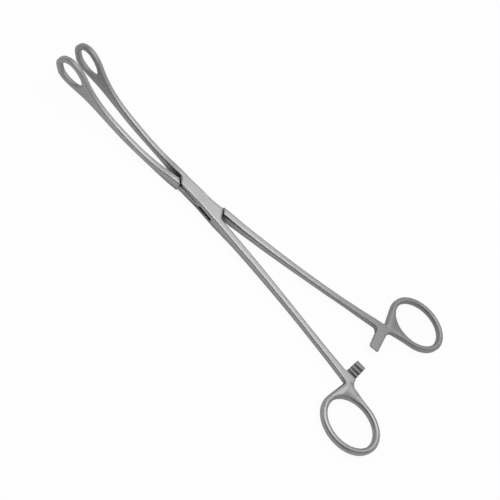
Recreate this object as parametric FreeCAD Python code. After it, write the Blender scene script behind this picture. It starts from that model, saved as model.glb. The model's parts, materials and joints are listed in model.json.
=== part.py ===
import FreeCAD, Part
import math
import os

# Curved ring-jaw piercing forceps with a box lock, finger rings and a ratchet.
# Millimetres. +X runs towards the tips, +Z is up and the jaws bend up.
# The origin is on the pivot axis, at the flat underside of the lock.
# Each half is drawn closed, with its shank on +Y and its jaw on -Y, around the mid plane z = 0.
# The other half is drawn the same way and mirrored. Both are then turned about the pivot.

# Pose
open_angle = 6.66          # angle between the closed and the modelled pose, both halves together, degrees

# Lock
lock_height = 6.0
lock_half_width = 3.7
lower_wall = 1.6           # female wall under the slot
slot_height = 2.1
slide_clearance = 0.05     # between the tongue and each slot face
shoulder_clearance = 0.1   # between the shoulders of the two halves when closed
front_corner_x = 12.4      # outer end of the front shoulder
front_notch_x = 15.6       # inner end of the front shoulder
front_notch_y = -0.2
rear_corner_x = -11.4      # outer end of the rear shoulder
rear_corner_bulge = 1.3    # how far the rear corner stands out past the lock's side
rear_notch_x = -14.6       # inner end of the rear shoulder
rear_notch_y = 0.4
slot_rear_flare = 0.6      # how far the slot's rear end runs out past the lock's side
tongue_waist = 1.0         # x where the sides start to leave the straight
side_pull = 5.0            # length of the handles of the curves in the lock's sides

# Pivot pin
pin_radius = 1.6
pin_clearance = 0.03
pin_head_radius = 2.1
pin_head_depth = 0.5

# Shank
shank_root_x = -15.0
shank_root_y = 2.7
shank_root_width = 4.0
shank_root_height = 4.7
shank_end_x = -119.4
shank_end_y = 14.2
shank_end_width = 3.3
shank_end_height = 3.4
shank_bow = 1.7            # how far the shank sags inside its chord
shank_swell = 1.0          # how much further in the inner edge is where the rack stands
height_blend_start = -13.0
height_blend_end = -31.0

# Finger ring
ring_reach = 14.0          # from the shank's end back to the middle of the ring
ring_offset = 16.5         # and outwards
ring_hole_length = 28.5
ring_hole_width = 22.3
ring_band = 3.3
ring_thickness = 3.9
ring_turn = 1.9            # degrees
neck_lead = 16.0           # the web starts inside the shank this far before its end
neck_start_width = 2.9
neck_start_height = 3.0
neck_cap = 1.0             # plain length at the web's hidden start
neck_full_run = 2.0        # the web reaches the ring's thickness this far behind the shank's end
crotch_lead = 0.9          # the corner between shank and ring is this far before the shank's end
crotch_inset = 0.15        # how far inside the shank's outer edge the web stays up to there
crotch_round = 1.2         # length along each side over which that corner is rounded
crotch_angle = -8.0        # where the web meets the ring outside, round the ring from +X, degrees
crotch_pull = 4.0          # length of the curve handles there
heel_angle = -100.0        # where it meets the ring inside
heel_pull = 10.0
neck_inner_pull = 9.0

# Ratchet
rack_width = 5.7
rack_tip_y = -0.75         # the rack's tip when the jaws touch
rack_overlap = 1.9         # how far the other rack's tip passes the centre line
rack_draft = 3.0           # how much more the front side leans than the rear side, degrees
tooth_pitch = 2.75
tooth_count = 4
tooth_depth = 0.8
rack_clearance = 0.1       # between the tooth tips of the two racks
rack_front_flare = 1.8
rack_rear_rise = 6.0       # length of the curve from the rack's rear side into the web, across
rack_rear_run = 5.4        # and along the shank
male_rack_corner = 1.2

# Jaw arm and loop
bend_start = 26.0
bend_radius = 160.0
arm_root_height = 4.4
arm_height = 4.0
arm_end = 81.3             # length along the arm's centre line
arm_outer_y = 3.4
arm_pull = 20.0            # length of the handles of the arm's curves, seen from above
arm_spread = 0.9           # how far the arms lean apart over that length
jaw_gap = 0.12             # from the centre line to the grip face, closed
arm_root_gap = 0.2
arm_root_run = 6.0         # how far in front of the shoulder the arm's inner curve starts
loop_thickness = 2.8
loop_hole_half_width = 4.5
loop_hole_front = 6.0
loop_hole_rear = 8.6
loop_middle = 11.0         # from the arm's end to the widest place of the loop
loop_band = 3.0
web_run = 9.0              # the arm starts to spread into the loop this far before its end
web_start_share = 0.38     # share of the loop's half width there
web_end_share = 0.63       # and at the arm's end
groove_pitch = 1.0
groove_depth = 0.12
groove_share = 0.6         # width of a groove as a share of the pitch
groove_margin = 0.9        # plain length beyond the first and the last groove

# Broken edges
edge_bevel = 0.5
grip_bevel = 0.35
ring_bevel = 1.0

V = FreeCAD.Vector
ORIGIN = V(0, 0, 0)
FORWARD = V(1, 0, 0)
LEFT = V(0, 1, 0)
UP = V(0, 0, 1)
TOP, BOTTOM = 1, -1        # the two faces, and the two edges of an outline seen from the side
OUTER, INNER = 1, -1       # the two edges of a shank seen from above
ON_WALL = 0.01             # an edge this near to a wall lies on it

front_corner = V(front_corner_x, lock_half_width, 0)
front_notch = V(front_notch_x, front_notch_y, 0)
rear_corner = V(rear_corner_x, -lock_half_width - rear_corner_bulge, 0)
rear_notch = V(rear_notch_x, rear_notch_y, 0)
rack_x = shank_end_x
rack_lean = math.atan2((shank_end_y + rack_tip_y) / 2, -rack_x)    # the racks follow an arc round the pivot
ring_x = shank_end_x - ring_reach
ring_y = shank_end_y + ring_offset
neck_start_x = shank_end_x + neck_lead
neck_full_x = shank_end_x - neck_full_run
shank_tail = rack_x - rack_width / 2 - 2 * rack_rear_run
loop_half_width = loop_hole_half_width + loop_band
far_side = ring_y + ring_hole_length


def line(a, b):
    return Part.LineSegment(a, b).toShape()


def bezier(*poles):
    curve = Part.BezierCurve()
    curve.setPoles(list(poles))
    return curve.toShape()


def spline(points, start, end):
    curve = Part.BSplineCurve()
    curve.interpolate(Points=points, InitialTangent=start, FinalTangent=end)
    return curve.toShape()


def prism(edges, low, high, axis):
    """Closed outline, drawn at zero along the axis, extruded from low to high."""
    face = Part.Face(Part.Wire(Part.__sortEdges__(edges)))
    face.translate(axis * low)
    return face.extrude(axis * (high - low))


def rounded(corner, before, after, run):
    """Curve that rounds a corner, from the given length before it to the same length after it."""
    return bezier(corner - before * run, corner, corner + after * run)


def lean(angle):
    """Direction that leans forward from +Y by the given angle in radians."""
    return V(math.sin(angle), math.cos(angle), 0)


def polygon(points):
    return [line(a, b) for a, b in zip(points, points[1:] + points[:1])]


def flipped(point):
    return V(point.x, -point.y, point.z)


# Centre line of the jaw, in the XZ plane

def along(s, n):
    """Point at length s on the jaw's centre line, n above it."""
    if s <= bend_start:
        return V(s, 0, n)
    angle = (min(s, arm_end) - bend_start) / bend_radius
    x = bend_start + (bend_radius - n) * math.sin(angle)
    z = bend_radius - (bend_radius - n) * math.cos(angle)
    rest = max(s - arm_end, 0)
    return V(x + rest * math.cos(angle), 0, z + rest * math.sin(angle))


def loop_axis():
    angle = (arm_end - bend_start) / bend_radius
    return V(math.cos(angle), 0, math.sin(angle))


def loop_up():
    axis = loop_axis()
    return V(-axis.z, 0, axis.x)


def half_ellipse(reach, half_width):
    """Half of an ellipse round the loop's widest place, with its end at the given reach along the loop."""
    centre = along(arm_end + loop_middle, 0)
    axis = loop_axis()
    steps = [math.radians(t) for t in (90, 60, 30, 0, -30, -60, -90)]
    points = [
        centre + axis * (reach * math.cos(t)) + loop_up() * (half_width * math.sin(t)) for t in steps
    ]
    way = axis * (1 if reach > 0 else -1)
    return spline(points, way, way * -1)


# Outline seen from the side

def handle_edge(sign):
    """Top or bottom of lock and shank, from the lock's rear to the shank's hidden end."""
    first = V(height_blend_start, 0, sign * lock_height / 2)
    root = V(shank_root_x, 0, sign * shank_root_height / 2)
    end = V(shank_end_x, 0, sign * shank_end_height / 2)
    share = (height_blend_end - shank_root_x) / (shank_end_x - shank_root_x)
    second = root + (end - root) * share
    pull = (height_blend_start - height_blend_end) / 3
    slope = (root - end).normalize() * pull
    tail = V(shank_tail, 0, sign * shank_end_height / 2)
    return [bezier(first, first - FORWARD * pull, second + slope, second), line(second, end), line(end, tail)]


def jaw_edge(sign):
    """Top or bottom of the jaw, from the front shoulder to the loop's widest place."""
    stations = [
        (front_notch_x, lock_height / 2),
        (bend_start, arm_root_height / 2),
        ((bend_start + arm_end) / 2, arm_height / 2),
        (arm_end - web_run, web_start_share * loop_half_width),
        (arm_end, web_end_share * loop_half_width),
        (arm_end + loop_middle, loop_half_width),
    ]
    points = [along(s, sign * n) for s, n in stations]
    return spline(points, FORWARD, loop_axis())


def side_edge(sign):
    top = sign * lock_height / 2
    lock = line(V(height_blend_start, 0, top), V(front_notch_x, 0, top))
    return handle_edge(sign) + [lock, jaw_edge(sign)]


def side_prism():
    tip = half_ellipse(loop_hole_front + loop_band, loop_half_width)
    cap = line(V(shank_tail, 0, shank_end_height / 2), V(shank_tail, 0, -shank_end_height / 2))
    body = prism(side_edge(TOP) + side_edge(BOTTOM) + [tip, cap], -far_side, far_side, LEFT)
    hole = [
        half_ellipse(loop_hole_front, loop_hole_half_width),
        half_ellipse(-loop_hole_rear, loop_hole_half_width),
    ]
    return body.cut(prism(hole, -far_side, far_side, LEFT))


# Outline seen from above

def shank_wall(side):
    """Curve of the outer or the inner edge of the shank."""
    swell = shank_swell if side == INNER else 0
    start = V(shank_root_x, shank_root_y + side * shank_root_width / 2, 0)
    end = V(shank_end_x, shank_end_y + side * shank_end_width / 2 - swell, 0)
    curve = Part.BezierCurve()
    curve.setPoles([start, (start + end) * 0.5 - LEFT * (2 * shank_bow), end])
    return curve


def shank_centre(x):
    """Middle of the shank at x, seen from above."""
    share = (x - shank_root_x) / (shank_end_x - shank_root_x)
    return (shank_wall(OUTER).value(share).y + shank_wall(INNER).value(share).y) / 2


def arm_way():
    """Direction in which the arm leaves the lock, seen from above."""
    return V(arm_pull, -arm_spread, 0).normalize()


def jaw_walls():
    tip = along(arm_end + loop_middle + loop_hole_front + loop_band, 0).x + loop_band
    loop_start = along(arm_end, 0).x
    outer_y = -jaw_gap - loop_thickness
    root = V(front_notch_x, -arm_outer_y, 0)
    loop = V(loop_start, outer_y, 0)
    outer = [
        line(V(tip, outer_y, 0), loop),
        bezier(loop, loop - FORWARD * arm_pull, root + arm_way() * arm_pull, root),
    ]
    inner_root = V(front_notch_x + arm_root_run, -arm_root_gap, 0)
    inner_loop = V(loop_start, -jaw_gap, 0)
    inner = [
        line(V(tip, -jaw_gap, 0), inner_loop),
        bezier(inner_loop, inner_loop - FORWARD * arm_pull, inner_root + arm_way() * arm_pull, inner_root),
    ]
    return outer, inner, line(V(tip, outer_y, 0), V(tip, -jaw_gap, 0))


def rack_walls(tip_y, corner):
    """Inner side of the shank, with the rack on it. A corner of zero leaves the tip sharp."""
    front_way = lean(rack_lean + math.radians(rack_draft))
    rear_way = lean(rack_lean)
    front = V(rack_x + rack_width / 2, 0, 0)
    rear = V(rack_x - rack_width / 2, 0, 0)
    front_tip = front + front_way * (tip_y / front_way.y)
    rear_tip = rear + rear_way * (tip_y / rear_way.y)
    curve = shank_wall(INNER)
    share = (front.x + 2 * rack_front_flare - shank_root_x) / (shank_end_x - shank_root_x)
    foot = curve.value(share)
    curve.segment(0, share)
    slope = curve.tangent(1)[0]
    gap = front + front_way * (foot.y / front_way.y) - foot
    knee = foot + slope * (gap.x / (slope.x - slope.y * front_way.x / front_way.y))
    side = knee - front_way * rack_front_flare
    heel_x = rear.x - rack_rear_run
    heel = V(heel_x, shank_centre(heel_x), 0)
    bend = rear + rear_way * (heel.y / rear_way.y)
    back = bend - rear_way * rack_rear_rise
    inner = [
        curve.toShape(),
        bezier(foot, knee, side),
        line(side, front_tip + front_way * corner),
    ]
    rear_side = [line(rear_tip + rear_way * corner, back), bezier(back, bend, heel)]
    tip = line(front_tip - FORWARD * corner, rear_tip + FORWARD * corner)
    if corner == 0:
        return inner, rear_side, [tip], heel
    round_front = rounded(front_tip, front_way * -1, FORWARD * -1, corner)
    round_rear = rounded(rear_tip, FORWARD * -1, rear_way, corner)
    return inner + [round_front, tip, round_rear] + rear_side, [], [], heel


def half_walls(tip_y, corner):
    """Named walls that both halves have: jaw, shank and rack, with the caps at their hidden ends."""
    outer_jaw, grip, jaw_cap = jaw_walls()
    inner, rear_side, tip, heel = rack_walls(tip_y, corner)
    outer = shank_wall(OUTER)
    start = outer.value(0)
    waist = V(tongue_waist, lock_half_width, 0)
    flow = bezier(waist, waist - FORWARD * side_pull, start - outer.tangent(0)[0] * side_pull, start)
    return {
        "outer": outer_jaw,
        "grip": grip,
        "left": [flow, outer.toShape()],
        "inner": inner,
        "rear": rear_side,
        "ends": [jaw_cap, line(outer.value(1), heel)] + tip,
    }


def female_walls():
    walls = half_walls(rack_tip_y, 0)
    waist = V(tongue_waist, -lock_half_width, 0)
    root = V(front_notch_x, -arm_outer_y, 0)
    rear_pull = V(side_pull, rear_corner_bulge, 0)
    walls["outer"] += [
        bezier(root, root - arm_way() * side_pull, waist + FORWARD * side_pull, waist),
        bezier(waist, waist - FORWARD * side_pull, rear_corner + rear_pull, rear_corner),
    ]
    walls["left"].append(line(front_corner, V(tongue_waist, lock_half_width, 0)))
    walls["ends"] += [
        line(front_corner, front_notch),
        line(rear_corner, rear_notch),
        line(front_notch, walls["grip"][1].Vertexes[-1].Point),
        line(rear_notch, shank_wall(INNER).value(0)),
    ]
    return walls


def male_walls():
    """Walls of the male half, before it is mirrored."""
    walls = half_walls(-rack_overlap, male_rack_corner)
    waist = V(-tongue_waist, -lock_half_width, 0)
    root = V(front_notch_x, -arm_outer_y, 0)
    notch = front_notch + FORWARD * (2 * shoulder_clearance)
    walls["outer"].append(bezier(root, root - arm_way() * side_pull, waist + FORWARD * side_pull, waist))
    walls["ends"] += [
        line(V(tongue_waist, lock_half_width, 0), notch),
        line(notch, walls["grip"][1].Vertexes[-1].Point),
        line(waist, shank_wall(INNER).value(0)),
    ]
    return walls


def edges_on(body, walls):
    """Edges of the body that follow the given walls, at the top or the bottom."""
    found = []
    for edge in body.Edges:
        half = (edge.FirstParameter + edge.LastParameter) / 2
        mid = edge.valueAt(half)
        if abs(edge.tangentAt(half).z) > 0.99:
            continue
        spot = Part.Vertex(V(mid.x, mid.y, 0))
        if min(wall.distToShape(spot)[0] for wall in walls) < ON_WALL:
            found.append(edge)
    return found


def bevelled_body(walls, side):
    """Lock, jaw, shank and rack in one: the outline from above, cut to the outline from the side."""
    edges = [edge for name in walls for edge in walls[name]]
    body = prism(edges, -far_side, far_side, UP).common(side)
    for name in ("left", "inner", "rear", "outer"):
        if walls[name]:
            body = body.makeChamfer(edge_bevel, edges_on(body, walls[name]))
    return body.makeChamfer(grip_bevel, edges_on(body, walls["grip"]))


# Finger ring with its web

def ring_spot(angle):
    """Point on the ring's outer edge, and the direction along it."""
    a = ring_hole_length / 2 + ring_band
    b = ring_hole_width / 2 + ring_band
    t = math.radians(angle)
    turn = FreeCAD.Rotation(UP, ring_turn)
    spot = turn.multVec(V(a * math.cos(t), b * math.sin(t), 0)) + V(ring_x, ring_y, 0)
    return spot, turn.multVec(V(-a * math.sin(t), b * math.cos(t), 0)).normalize()


def ring_ellipse(a, b, start, end):
    ellipse = Part.Ellipse(ORIGIN, a, b)
    shape = Part.ArcOfEllipse(ellipse, math.radians(start), math.radians(end)).toShape()
    shape.rotate(ORIGIN, UP, ring_turn)
    shape.translate(V(ring_x, ring_y, 0))
    return shape


def ring_side():
    """Side outline of the ring and its web: thin inside the shank, full at the ring."""
    far = ring_x - ring_hole_length
    full = ring_thickness / 2
    thin = neck_start_height / 2
    start = neck_start_x + neck_cap
    middle = (start + neck_full_x) / 2
    edges = [line(V(far, 0, full), V(far, 0, -full)), line(V(start, 0, thin), V(start, 0, -thin))]
    for sign in (TOP, BOTTOM):
        knee = V(neck_full_x, 0, sign * full)
        edges.append(line(V(far, 0, sign * full), knee))
        edges.append(bezier(knee, V(middle, 0, sign * full), V(middle, 0, sign * thin), V(start, 0, sign * thin)))
    return prism(edges, -far_side, far_side, LEFT)


def crotch_corner():
    """Corner between the shank's outer edge and the ring, before it is rounded."""
    x = shank_end_x + crotch_lead
    share = (x - shank_root_x) / (shank_end_x - shank_root_x)
    return shank_wall(OUTER).value(share) - LEFT * crotch_inset


def finger_ring():
    crotch, crotch_way = ring_spot(crotch_angle)
    heel, heel_way = ring_spot(heel_angle)
    start = V(neck_start_x, shank_centre(neck_start_x), 0)
    way = (V(shank_end_x, shank_centre(shank_end_x), 0) - start).normalize()
    top = start + LEFT * (neck_start_width / 2)
    low = start - LEFT * (neck_start_width / 2)
    corner = crotch_corner()
    before = (corner - top).normalize()
    after = (crotch - corner).normalize()
    turned = corner + after * crotch_round
    a = ring_hole_length / 2
    b = ring_hole_width / 2
    walls = [
        line(top, corner - before * crotch_round),
        rounded(corner, before, after, crotch_round),
        bezier(turned, turned + after * crotch_pull, crotch - crotch_way * crotch_pull, crotch),
        bezier(low, low + way * neck_inner_pull, heel + heel_way * heel_pull, heel),
        ring_ellipse(a + ring_band, b + ring_band, crotch_angle, 360 + heel_angle),
    ]
    hole = ring_ellipse(a, b, 0, 360)
    body = prism(walls + [line(top, low)], -far_side, far_side, UP)
    body = body.cut(prism([hole], -far_side, far_side, UP)).common(ring_side())
    return body.makeChamfer(ring_bevel, edges_on(body, walls + [hole]))


# Ratchet teeth

def tooth_cutter(tip_y):
    """What is cut away above the rack: saw teeth that hook towards their own shank."""
    crest = -rack_clearance / 2
    root = crest - tooth_depth
    top = shank_root_height
    points = [V(0, tip_y - tooth_pitch, top), V(0, tip_y - tooth_pitch, root)]
    for i in range(tooth_count):
        points.append(V(0, tip_y + i * tooth_pitch, root))
        points.append(V(0, tip_y + (i + 1) * tooth_pitch, crest))
    points.append(V(0, tip_y + tooth_count * tooth_pitch, top))
    low = rack_x - rack_width / 2 - rack_rear_run / 2
    high = rack_x + rack_width / 2 + rack_front_flare
    return prism(polygon(points), low, high, FORWARD)


# Grip grooves

def grip_grooves():
    axis = loop_axis()
    first = arm_end + loop_middle - loop_hole_rear - groove_margin
    last = arm_end + loop_middle + loop_hole_front + loop_band - groove_margin
    count = int((last - first) / groove_pitch) + 1
    half = axis * (groove_pitch * groove_share / 2)
    grooves = []
    for i in range(count):
        foot = along(first + i * groove_pitch, 0) - loop_up() * loop_half_width
        root = foot - LEFT * (jaw_gap + groove_depth)
        face = Part.Face(Part.Wire(polygon([foot - half, foot + half, root])))
        grooves.append(face.extrude(loop_up() * (2 * loop_half_width)))
    return Part.makeCompound(grooves)


# Box lock

def slot_cutter():
    low = -lock_height / 2 + lower_wall
    out = LEFT * far_side
    front_right = flipped(front_corner)
    rear_left = V(rear_corner_x, lock_half_width + slot_rear_flare, 0)
    outline = [
        front_corner + out, front_corner, front_notch, front_right, front_right - out,
        rear_corner - out, rear_corner, rear_notch, rear_left, rear_left + out,
    ]
    return prism(polygon(outline), low, low + slot_height, UP)


def shoulder_line(corner, notch):
    """Two far points on a shoulder's line, moved out of the lock by the clearance."""
    way = (notch - corner).normalize()
    out = V(corner.x, 0, 0).normalize()
    shift = (out - way * out.dot(way)).normalize() * shoulder_clearance
    return [corner + shift - way * far_side, notch + shift + way * far_side]


def tongue_relief():
    """What is cut from the male half above and below its tongue."""
    front = shoulder_line(flipped(front_corner), flipped(front_notch))
    rear = shoulder_line(flipped(rear_corner), flipped(rear_notch))
    outline = polygon(front + rear)
    low = -lock_height / 2 + lower_wall
    below = prism(outline, -lock_height, low + slide_clearance, UP)
    above = prism(outline, low + slot_height - slide_clearance, lock_height, UP)
    return below.fuse(above)


def pin_solid():
    half = lock_height / 2
    shaft = Part.makeCylinder(pin_radius, lock_height, V(0, 0, -half))
    low = Part.makeCone(pin_head_radius, pin_radius, pin_head_depth, V(0, 0, -half))
    high = Part.makeCone(pin_radius, pin_head_radius, pin_head_depth, V(0, 0, half - pin_head_depth))
    return shaft.fuse([low, high]).removeSplitter()


# Whole pieces

def female_half(side, ring):
    body = bevelled_body(female_walls(), side).fuse(ring)
    body = body.cut(tooth_cutter(rack_tip_y))
    body = body.cut(slot_cutter())
    body = body.cut(pin_solid())
    return body.cut(grip_grooves())


def male_half(side, ring):
    body = bevelled_body(male_walls(), side).fuse(ring)
    body = body.cut(tooth_cutter(-rack_overlap).mirror(ORIGIN, UP))
    body = body.cut(tongue_relief())
    bore = Part.makeCylinder(pin_radius + pin_clearance, 2 * lock_height, V(0, 0, -lock_height))
    return body.cut(bore).cut(grip_grooves()).mirror(ORIGIN, LEFT)


def place(body, turn):
    body = body.removeSplitter()
    body.rotate(ORIGIN, UP, turn)
    body.translate(UP * (lock_height / 2))
    return body


def main():
    os.makedirs("parts", exist_ok=True)
    side = side_prism()
    ring = finger_ring()
    pieces = {
        "female_half": place(female_half(side, ring), -open_angle / 2),
        "male_half": place(male_half(side, ring), open_angle / 2),
        "pivot_pin": place(pin_solid(), -open_angle / 2),
    }
    for name, body in pieces.items():
        print(name, body.isValid(), len(body.Solids), "solids", len(body.Faces), "faces", round(body.Volume, 1))
        body.exportStep("parts/" + name + ".step")


main()
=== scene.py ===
from collections import defaultdict
import json
import math

import bpy
from mathutils import Matrix, Vector


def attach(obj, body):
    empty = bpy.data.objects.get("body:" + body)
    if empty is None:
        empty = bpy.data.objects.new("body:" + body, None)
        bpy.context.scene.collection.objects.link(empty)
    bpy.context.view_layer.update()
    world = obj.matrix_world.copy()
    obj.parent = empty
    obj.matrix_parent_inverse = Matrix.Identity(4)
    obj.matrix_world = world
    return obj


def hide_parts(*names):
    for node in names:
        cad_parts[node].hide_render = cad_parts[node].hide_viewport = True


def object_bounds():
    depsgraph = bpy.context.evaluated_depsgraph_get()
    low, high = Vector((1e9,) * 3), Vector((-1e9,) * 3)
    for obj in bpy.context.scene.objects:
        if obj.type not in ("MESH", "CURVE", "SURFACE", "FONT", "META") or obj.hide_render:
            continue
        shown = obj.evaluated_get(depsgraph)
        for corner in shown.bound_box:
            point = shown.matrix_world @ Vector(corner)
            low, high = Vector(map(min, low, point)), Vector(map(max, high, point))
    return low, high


# Lengths are in metres, apart from the camera's sensor, and angles in degrees. A span or fade is two limits.

# Camera, measured against the photograph
DISTANCE = 0.470                     # from the camera to the point that it was fitted at
FITTED_POINT = Vector((-0.0019, 0, 0.003))
AZIMUTH = 0.96                       # of the camera as seen from the pivot, from +Y towards +X
ELEVATION = 52.6
ROLL = 43.73
METRES_PER_PIXEL = 0.00052           # at the fitted point
FITTED_PIXEL = (202.97, 202.40)      # where the fitted point shows in the photograph's 500 x 500 frame
FRAME_PIXELS = 500
SENSOR = 36.0                        # millimetres
CLIP = (0.01, 10)

# Stage and light
BACKGROUND = (1, 1, 1, 1)
FLOOR_SIZE = 3.0
FLOOR_COLOUR = (0.90, 0.90, 0.90, 1)
FLOOR_GLOW = 0.94                    # share of the floor that is plain white to the camera
MIRRORED_GLOW = 0.15                 # and in reflections, which keep the dark of the object's own shadow
HORIZON_LEVEL = 1.0                  # of the world's light near the horizon, where the side views see it
SKY_LEVEL = 0.3                      # and high above
SKY_FADE = (0.3, 0.6)                # height on a globe of radius 1 over which one turns into the other

FLAG_GREY = (0.05, 0.05, 0.05, 1)
FLAG_Y = 0.9
FLAG_HALF = 1.0                      # half its width along x
FLAG_HEIGHTS = (0.06, 0.75)

LAMP_TARGET = Vector((0, 0, 0))
LAMPS = (                            # name, place, width and height, watts
    ("overhead", Vector((0.0, 0.05, 0.9)), (0.6, 0.6), 3),
    ("softbox", Vector((-0.09, -0.44, 0.78)), (0.8, 0.45), 1.7),
)

# Steel
STEEL = (0.38, 0.38, 0.385)
PIN_STEEL = (0.36, 0.36, 0.365)
GRAIN_SIZE = 0.0006                  # of the blasted satin grain
GRAIN_DETAIL = 2.0
STREAK_LENGTH = 0.009                # of the fine polishing streaks along the shanks and arms
STREAK_WIDTH = 0.00022
STREAK_DETAIL = 3.0
STREAK_SHARE = 0.5                   # of the texture, and the rest is grain
SMUDGE_SIZE = 0.012
SMUDGE_DETAIL = 4.0
NOISE_SPAN = (0.3, 0.7)              # where most of a noise texture's values lie
TEXTURE_ROUGHNESS = (0.29, 0.40)
SMUDGE_ROUGHNESS = (-0.04, 0.05)     # added to that
TEXTURE_SHADE = (0.78, 1.18)
SMUDGE_SHADE = (0.96, 1.03)
BUMP_STRENGTH = 0.3
BUMP_DEPTH = 0.000006
CREVICE_REACH = 0.004                # a wall nearer than this darkens the steel with painted shade
CREVICE_SPAN = (0.15, 0.85)          # open share of the surroundings, from a crevice to a free surface
PAINTED_CREVICE_SHADE = (0.08, 1.0)
SHADER_SAMPLES = 8                   # of the nodes that look for edges and crevices

# Edges that polishing has rounded
EDGE_RADIUS = 0.0017                 # on the lock, the shanks and the arms
RING_EDGES = 0.65                    # share of it at the finger rings
LOOP_EDGES = 0.5                     # share of it at the jaw rings
LOOP_FADE = (0.055, 0.080)           # x, from the arms to the jaw rings, which are matt with sharper edges
LOOP_DULLER = 0.20                   # how much rougher the steel of the jaw rings is
PIN_SEAM_REACH = 0.0032              # the pin is flush, and no seam shows round it
SQUARE_ANGLE = 55                    # an edge sharper than this stays crisp
SAME_PLACE = 0.000002                # vertices that round to one spot of this grid are one corner
WIDTH_POWER = 3                      # the higher, the more the wider face decides the normal at an edge
SHORTEST_OUTLINE = 1e-9              # stands for the outline of a face that has none

# Ratchet teeth, with painted shade in their hollows and painted highlight lines along them
TOOTH_X = (-0.1225, -0.1150)         # where they are, the same on both halves but for the side
TOOTH_Y = (0.0088, 0.0175)
CREST_Z = 0.003
TOOTH_DEPTH = 0.0009
CREST_BAND = (0.0001, 0.0003)        # distance from the crests over which the painted shade darkens the steel
PAINTED_HOLLOW_SHADE = 0.45
PAINTED_LINE_BRIGHTNESS = 1.70                    # brightness of the painted highlight lines in the hollows
PAINTED_LINE_PITCH = 0.001375
PAINTED_LINE_REACH = PAINTED_LINE_PITCH / 4          # half the width of a painted highlight line

# What differs from piece to piece. Every fade is along x, and the pin lies before the start of each.
HANDLE_FADE = (-0.03, -0.115)        # over which a half gets darker with painted shade, down to the value given for its handle
LOOKS = {
    "female_half": {
        "colour": STEEL,
        "ring_fade": (-0.104, -0.120),   # over which the edges get as sharp as at the finger ring
        "painted_handle_shade": 0.92,
        "dull_fade": (-0.100, -0.125),   # over which the handle gets rougher by duller
        "duller": 0.04,
        "jaw_fade": (0.030, 0.080),      # over which the arm gets darker with painted shade, down to the value given for its jaw
        "painted_jaw_shade": 0.90,
    },
    "male_half": {
        "colour": STEEL,
        "ring_fade": (-0.076, -0.090),
        "painted_handle_shade": 0.80,
        "dull_fade": (-0.078, -0.090),
        "duller": 0.15,
        "jaw_fade": (0.055, 0.085),
        "painted_jaw_shade": 0.99,
    },
    "pivot_pin": {
        "colour": PIN_STEEL,
        "ring_fade": (-0.100, -0.120),
        "painted_handle_shade": 1.0,
        "dull_fade": (-0.100, -0.120),
        "duller": 0.0,
        "jaw_fade": (0.060, 0.080),
        "painted_jaw_shade": 1.0,
    },
}

# Slimmer shanks: the side of the middle they are on, and how far their walls stand inside the solid's
SHANK_ENDS = (-0.025, -0.111)        # x, where the walls are still the solid's
SLIMMEST = (-0.075, -0.094)          # x, between which they stand inside it the whole way
SHANKS = {
    "female_half": {"side": 1, "inner": 0.0008, "outer": 0.0, "top": 0.00035, "bottom": 0.0},
    "male_half": {"side": -1, "inner": 0.0004, "outer": 0.0004, "top": 0.00035, "bottom": 0.0005},
}


# Helpers

class Nodes:
    """The node tree of a new material or world, with short calls to add and join its nodes."""

    def __init__(self, owner):
        owner.use_nodes = True
        self.tree = owner.node_tree
        self.tree.nodes.clear()

    def add(self, kind, inputs=None, **settings):
        node = self.tree.nodes.new("ShaderNode" + kind)
        for key, value in settings.items():
            setattr(node, key, value)
        for key, value in (inputs or {}).items():
            self.put(node.inputs[key], value)
        return node

    def put(self, socket, value):
        if isinstance(value, bpy.types.NodeSocket):
            self.tree.links.new(value, socket)
        else:
            socket.default_value = value

    def math(self, operation, a, b=0.0):
        return self.add("Math", {0: a, 1: b}, operation=operation).outputs[0]

    def chain(self, operation, first, *others):
        """The operation on the first two values, on its result and the third, and so on."""
        result = first
        for value in others:
            result = self.math(operation, result, value)
        return result

    def remap(self, value, span, new_span, **settings):
        """The value carried over from one span to the other, and held at its ends."""
        inputs = {"Value": value, "From Min": span[0], "From Max": span[1],
                  "To Min": new_span[0], "To Max": new_span[1]}
        return self.add("MapRange", inputs, **settings).outputs["Result"]

    def noise(self, place, scale, detail):
        inputs = {"Vector": place, "Scale": scale, "Detail": detail}
        return self.add("TexNoise", inputs).outputs["Fac"]


def new_object(name, data):
    thing = bpy.data.objects.new(name, data)
    bpy.context.scene.collection.objects.link(thing)
    return thing


def sheet(name, corners, material):
    """An object of a single face with four corners."""
    mesh = bpy.data.meshes.new(name)
    mesh.from_pydata(corners, [], [(0, 1, 2, 3)])
    mesh.materials.append(material)
    return new_object(name, mesh)


# Camera

def camera_axes():
    """Right, down and forward of the photograph's camera."""
    azimuth, elevation, roll = (math.radians(x) for x in (AZIMUTH, ELEVATION, ROLL))
    level = math.cos(elevation)
    back = Vector((level * math.sin(azimuth), level * math.cos(azimuth), math.sin(elevation)))
    forward = -back
    level_right = forward.cross(Vector((0, 0, 1))).normalized()
    level_down = forward.cross(level_right)
    right = math.cos(roll) * level_right - math.sin(roll) * level_down
    down = math.sin(roll) * level_right + math.cos(roll) * level_down
    return right, down, forward


def add_camera():
    right, down, forward = camera_axes()
    aside = (FITTED_PIXEL[0] - FRAME_PIXELS / 2) * METRES_PER_PIXEL
    below = (FITTED_PIXEL[1] - FRAME_PIXELS / 2) * METRES_PER_PIXEL
    place = FITTED_POINT - right * aside - down * below - forward * DISTANCE
    turn = Matrix((right, -down, -forward)).transposed()
    data = bpy.data.cameras.new("camera")
    data.sensor_width = SENSOR
    data.lens = SENSOR * DISTANCE / METRES_PER_PIXEL / FRAME_PIXELS
    data.clip_start, data.clip_end = CLIP
    camera = new_object("camera", data)
    camera.matrix_world = Matrix.Translation(place) @ turn.to_4x4()
    bpy.context.scene.camera = camera


# Stage and light

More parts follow.
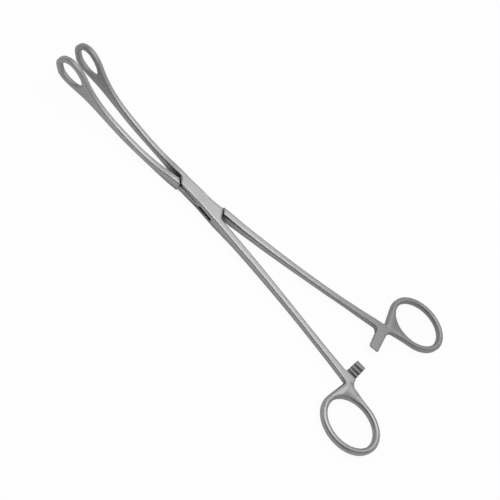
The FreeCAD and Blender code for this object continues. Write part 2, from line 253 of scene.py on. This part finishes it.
def stage_material():
    """Almost plain white to the camera, and otherwise a pale floor that keeps the object's shadow."""
    material = bpy.data.materials.new("stage_white")
    n = Nodes(material)
    path = n.add("LightPath")
    mirrored = n.math("MAXIMUM", path.outputs["Is Glossy Ray"], path.outputs["Is Transmission Ray"])
    seen = n.math("MULTIPLY", path.outputs["Is Camera Ray"], FLOOR_GLOW)
    share = n.math("MAXIMUM", seen, n.math("MULTIPLY", mirrored, MIRRORED_GLOW))
    paint = n.add("BsdfDiffuse", {"Color": FLOOR_COLOUR})
    glow = n.add("Emission", {"Color": BACKGROUND, "Strength": 1.0})
    mix = n.add("MixShader", {0: share, 1: paint.outputs[0], 2: glow.outputs[0]})
    n.add("OutputMaterial", {"Surface": mix.outputs[0]})
    return material


def add_floor(lowest):
    half = FLOOR_SIZE / 2
    corners = [(x, y, lowest) for x, y in ((-half, -half), (half, -half), (half, half), (-half, half))]
    floor = sheet("floor", corners, stage_material())


def add_flag():
    """A dark card in front of the object, seen only in reflections, that draws the line under its edges."""
    material = bpy.data.materials.new("flag_grey")
    n = Nodes(material)
    n.add("OutputMaterial", {"Surface": n.add("Emission", {"Color": FLAG_GREY}).outputs[0]})
    low, high = FLAG_HEIGHTS
    edge = ((-FLAG_HALF, low), (FLAG_HALF, low), (FLAG_HALF, high), (-FLAG_HALF, high))
    flag = sheet("flag", [(x, FLAG_Y, z) for x, z in edge], material)
    flag.visible_camera = flag.visible_diffuse = flag.visible_shadow = False


def add_world():
    """White light from all round, weaker from high above."""
    world = bpy.data.worlds.new("studio")
    n = Nodes(world)
    way = n.add("SeparateXYZ", {"Vector": n.add("TexCoord").outputs["Generated"]})
    levels = (HORIZON_LEVEL, SKY_LEVEL)
    level = n.remap(way.outputs["Z"], SKY_FADE, levels, interpolation_type="SMOOTHSTEP")
    background = n.add("Background", {"Color": BACKGROUND, "Strength": level})
    n.add("OutputWorld", {"Surface": background.outputs[0]})
    bpy.context.scene.world = world


def add_lamp(name, place, size, power):
    data = bpy.data.lights.new(name, "AREA")
    data.shape = "RECTANGLE"
    data.size, data.size_y = size
    data.energy = power
    lamp = new_object(name, data)
    lamp.location = place
    lamp.rotation_euler = (LAMP_TARGET - place).to_track_quat("-Z", "Y").to_euler()


# Materials

def within(n, value, span):
    """1 where the value is inside the span, and 0 outside it."""
    return n.math("MULTIPLY", n.math("GREATER_THAN", value, span[0]), n.math("LESS_THAN", value, span[1]))


def rounded_edges(n, spot, x, look):
    """The normal, turned over every edge as polishing leaves it, but not over the flush seam of the pin."""
    handle = n.remap(x, look["ring_fade"], (EDGE_RADIUS, EDGE_RADIUS * RING_EDGES))
    radius = n.math("MULTIPLY", handle, n.remap(x, LOOP_FADE, (1.0, LOOP_EDGES)))
    turned = n.add("Bevel", {"Radius": radius}, samples=SHADER_SAMPLES).outputs["Normal"]
    plain = n.add("NewGeometry").outputs["Normal"]
    flat = n.add("VectorMath", {0: spot, 1: (1, 1, 0)}, operation="MULTIPLY").outputs[0]
    from_pivot = n.add("VectorMath", {0: flat}, operation="LENGTH").outputs["Value"]
    by_pin = n.math("LESS_THAN", from_pivot, PIN_SEAM_REACH)
    # A Mix node's sockets for numbers and vectors share their names, so its vector ones go by place
    return n.add("Mix", {0: by_pin, 4: turned, 5: plain}, data_type="VECTOR").outputs[1]


def painted_tooth_shade(n, x, y, z):
    """Painted shade in the hollows between the ratchet teeth, with painted highlight lines across them, and
    the teeth's crests left as they are.
    """
    across = n.math("ABSOLUTE", y)
    depth = n.math("ABSOLUTE", n.math("SUBTRACT", z, CREST_Z))
    here = n.chain("MULTIPLY", within(n, x, TOOTH_X), within(n, across, TOOTH_Y),
                   n.math("LESS_THAN", depth, TOOTH_DEPTH))
    # Painted highlight lines, evenly spaced across the hollows
    from_painted_line = n.math("PINGPONG", n.math("SUBTRACT", across, TOOTH_Y[0]), PAINTED_LINE_PITCH / 2)
    hollow = n.remap(from_painted_line, (0.0, PAINTED_LINE_REACH), (PAINTED_LINE_BRIGHTNESS, PAINTED_HOLLOW_SHADE))
    shade = n.remap(depth, CREST_BAND, (1.0, hollow))
    return n.math("ADD", n.math("MULTIPLY", here, n.math("SUBTRACT", shade, 1.0)), 1.0)


def steel(slot, look):
    """Satin stainless steel: blasted grain, fine streaks along the length and smudges, with painted shade in
    crevices, in the tooth hollows, towards the handle end and along the jaw arms, and painted highlight
    lines on the teeth.
    """
    material = bpy.data.materials.new("satin_" + slot)
    n = Nodes(material)
    spot = n.add("TexCoord").outputs["Object"]
    axes = n.add("SeparateXYZ", {"Vector": spot})
    x, y, z = (axes.outputs[name] for name in "XYZ")

    streak_scale = (1 / STREAK_LENGTH, 1 / STREAK_WIDTH, 1 / STREAK_WIDTH)
    stretched = n.add("Mapping", {"Vector": spot, "Scale": streak_scale}).outputs[0]
    streaks = n.math("MULTIPLY", n.noise(stretched, 1.0, STREAK_DETAIL), STREAK_SHARE)
    grain = n.math("MULTIPLY", n.noise(spot, 1 / GRAIN_SIZE, GRAIN_DETAIL), 1 - STREAK_SHARE)
    texture = n.math("ADD", streaks, grain)
    smudge = n.noise(spot, 1 / SMUDGE_SIZE, SMUDGE_DETAIL)

    rough = n.chain("ADD",
                    n.remap(texture, NOISE_SPAN, TEXTURE_ROUGHNESS),
                    n.remap(smudge, NOISE_SPAN, SMUDGE_ROUGHNESS),
                    n.remap(x, look["dull_fade"], (0.0, look["duller"])),
                    n.remap(x, LOOP_FADE, (0.0, LOOP_DULLER)))
    # Painted shade: ambient occlusion darkens the steel in crevices and near walls
    around = n.add("AmbientOcclusion", {"Distance": CREVICE_REACH}, samples=SHADER_SAMPLES).outputs["AO"]
    # The tone: real grain, streaks and smudges, times painted shade in the tooth hollows, towards the handle
    # end, along the jaw arms and in crevices
    shade = n.chain("MULTIPLY",
                    n.remap(texture, NOISE_SPAN, TEXTURE_SHADE),
                    n.remap(smudge, NOISE_SPAN, SMUDGE_SHADE),
                    painted_tooth_shade(n, x, y, z),
                    n.remap(x, HANDLE_FADE, (1.0, look["painted_handle_shade"])),
                    n.remap(x, look["jaw_fade"], (1.0, look["painted_jaw_shade"])),
                    n.remap(around, CREVICE_SPAN, PAINTED_CREVICE_SHADE))
    tint = n.add("CombineColor", {i: n.math("MULTIPLY", shade, c) for i, c in enumerate(look["colour"])})
    bump = n.add("Bump", {"Height": texture, "Strength": BUMP_STRENGTH, "Distance": BUMP_DEPTH,
                          "Normal": rounded_edges(n, spot, x, look)})
    body = n.add("BsdfPrincipled", {"Base Color": tint.outputs[0], "Metallic": 1.0, "Roughness": rough,
                                    "Normal": bump.outputs[0]})
    n.add("OutputMaterial", {"Surface": body.outputs[0]})
    return material


# Rounded edges

def faces_of(mesh):
    """The number of each vertex's CAD face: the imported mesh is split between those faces."""
    parent = list(range(len(mesh.vertices)))

    def root(i):
        while parent[i] != i:
            parent[i] = parent[parent[i]]
            i = parent[i]
        return i

    for polygon in mesh.polygons:
        first = root(polygon.vertices[0])
        for i in polygon.vertices[1:]:
            parent[root(i)] = first
    return [root(i) for i in range(len(parent))]


def face_widths(mesh, faces):
    """How wide each CAD face is on average: twice its area over the length of its outline."""
    area = defaultdict(float)
    uses = defaultdict(int)
    for polygon in mesh.polygons:
        area[faces[polygon.vertices[0]]] += polygon.area
        for key in polygon.edge_keys:
            uses[key] += 1
    outline = defaultdict(float)
    for (a, b), count in uses.items():
        if count == 1:
            outline[faces[a]] += (mesh.vertices[a].co - mesh.vertices[b].co).length
    return {face: 2 * area[face] / max(outline[face], SHORTEST_OUTLINE) for face in area}


def rounded_normals(mesh):
    """Corner normals that turn smoothly over the broken edges and leave the wider faces as they are."""
    faces = faces_of(mesh)
    widths = face_widths(mesh, faces)
    places = [tuple(round(x / SAME_PLACE) for x in v.co) for v in mesh.vertices]
    normals = [Vector(n.vector) for n in mesh.corner_normals]
    meeting = defaultdict(dict)
    for loop in mesh.loops:
        meeting[places[loop.vertex_index]][faces[loop.vertex_index]] = normals[loop.index]
    least = math.cos(math.radians(SQUARE_ANGLE))
    result = []
    for loop in mesh.loops:
        own = normals[loop.index]
        total = Vector((0, 0, 0))
        for face, normal in sorted(meeting[places[loop.vertex_index]].items()):
            if own.dot(normal) > least:
                total += normal * widths[face] ** WIDTH_POWER
        result.append(total.normalized() if total.length > 0 else own)
    return result


# Slimmer shanks

def smooth_step(x, start, end):
    """0 at the start, 1 at the end, with a gentle curve between them."""
    share = min(max((x - start) / (end - start), 0), 1)
    return share * share * (3 - 2 * share)


def section(mesh, x):
    """Lowest and highest y and z of the mesh where it is cut across at x."""
    spots = []
    for edge in mesh.edges:
        a, b = (mesh.vertices[i].co for i in edge.vertices)
        if min(a.x, b.x) <= x <= max(a.x, b.x):
            share = (x - a.x) / (b.x - a.x) if a.x != b.x else 0
            spots.append(a.lerp(b, share))
    ys = [p.y for p in spots]
    zs = [p.z for p in spots]
    return min(ys), max(ys), min(zs), max(zs)


def slim_shank(mesh, shank):
    """Draws the walls of a half's shank in, fully in its slimmest part and not at all at its ends."""
    side = shank["side"]
    sections = {}
    moves = {}
    for vertex in mesh.vertices:
        x, y, z = vertex.co
        if not SHANK_ENDS[1] < x < SHANK_ENDS[0]:
            continue
        if x not in sections:
            sections[x] = section(mesh, x)
        low_y, high_y, low_z, high_z = sections[x]
        inner, outer = (low_y, high_y) if side == 1 else (high_y, low_y)
        outward = (y - inner) / (outer - inner)
        upward = (z - low_z) / (high_z - low_z)
        share = smooth_step(x, SHANK_ENDS[0], SLIMMEST[0]) * smooth_step(x, SHANK_ENDS[1], SLIMMEST[1])
        aside = side * (shank["inner"] * (1 - outward) - shank["outer"] * outward)
        up = shank["bottom"] * (1 - upward) - shank["top"] * upward
        moves[vertex.index] = share * Vector((0, aside, up))
    for index, move in moves.items():
        mesh.vertices[index].co += move


def dress(nodes, record):
    """Each CAD node is shown by a copy of its mesh whose edges are shaded round, in satin steel."""
    slots = {part["node"]: part["material_slot"] for part in record["subparts"]}
    for body, names in record["behaviour"]["bodies"].items():
        for name in names:
            solid = nodes[name].data
            mesh = solid.copy()
            if name in SHANKS:
                slim_shank(mesh, SHANKS[name])
            mesh.shade_smooth()
            mesh.normals_split_custom_set(rounded_normals(solid))
            mesh.materials.clear()
            mesh.materials.append(steel(slots[name], LOOKS[name]))
            piece = new_object(name + "_satin", mesh)
            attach(piece, body)
            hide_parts(name)


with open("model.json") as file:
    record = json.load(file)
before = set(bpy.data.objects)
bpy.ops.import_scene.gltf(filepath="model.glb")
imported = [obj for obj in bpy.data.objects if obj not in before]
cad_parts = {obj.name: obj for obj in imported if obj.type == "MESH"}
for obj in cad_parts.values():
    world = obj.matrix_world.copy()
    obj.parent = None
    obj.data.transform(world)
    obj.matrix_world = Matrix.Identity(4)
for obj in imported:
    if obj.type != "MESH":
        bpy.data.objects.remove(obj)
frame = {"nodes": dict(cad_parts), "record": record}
cad_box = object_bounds()
bpy.context.scene.view_settings.view_transform = "Standard"
dress(frame["nodes"], frame["record"])
add_camera()
add_floor(cad_box[0].z)
add_world()
add_flag()
for lamp in LAMPS:
    add_lamp(*lamp)
